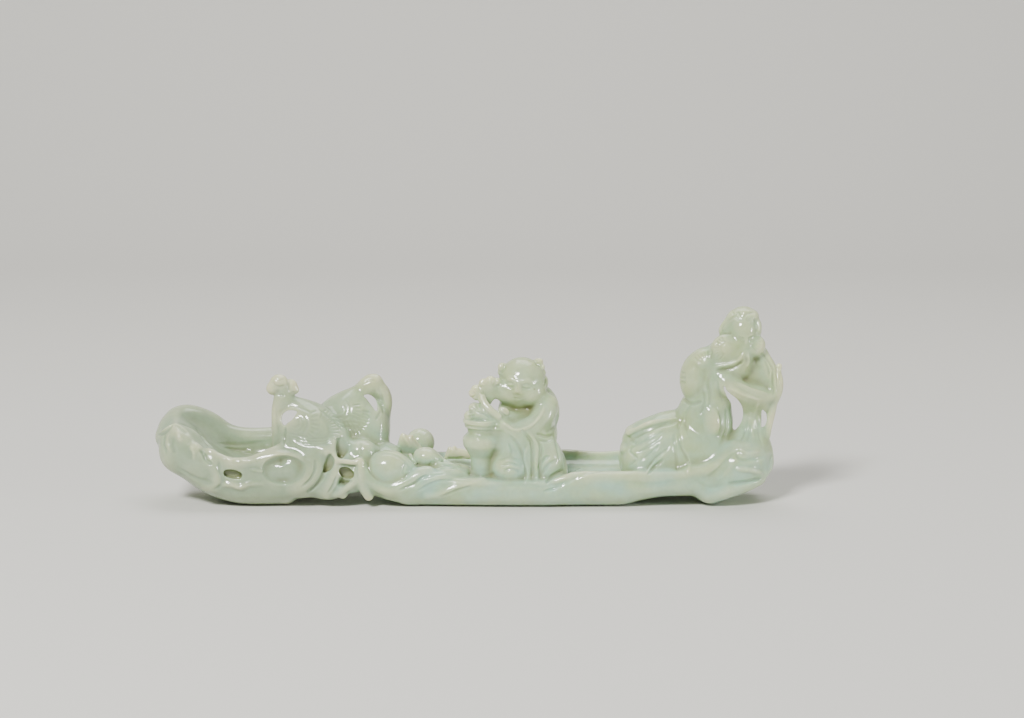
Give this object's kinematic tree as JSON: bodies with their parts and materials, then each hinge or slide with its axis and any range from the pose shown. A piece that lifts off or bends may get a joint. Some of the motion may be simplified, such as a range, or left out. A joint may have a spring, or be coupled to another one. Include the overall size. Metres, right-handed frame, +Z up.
{
  "type": "jade figure group",
  "caption": "Carved jade log raft with a seated sage, a boy hugging a vase, cranes, peaches and pierced roots, cut from one stone to stand on a flat surface.",
  "frame": {"origin": "on the polished underside, halfway along the raft and midway between its sides", "axes": "+X from the prow to the stern, +Y away from the viewer, +Z up"},
  "size_m": [0.1993, 0.0358, 0.063],
  "materials": {
    "jade": "polished pale celadon nephrite"
  },
  "bodies": {
    "root": {"jade_raft_group": "jade"}
  },
  "joints": []
}
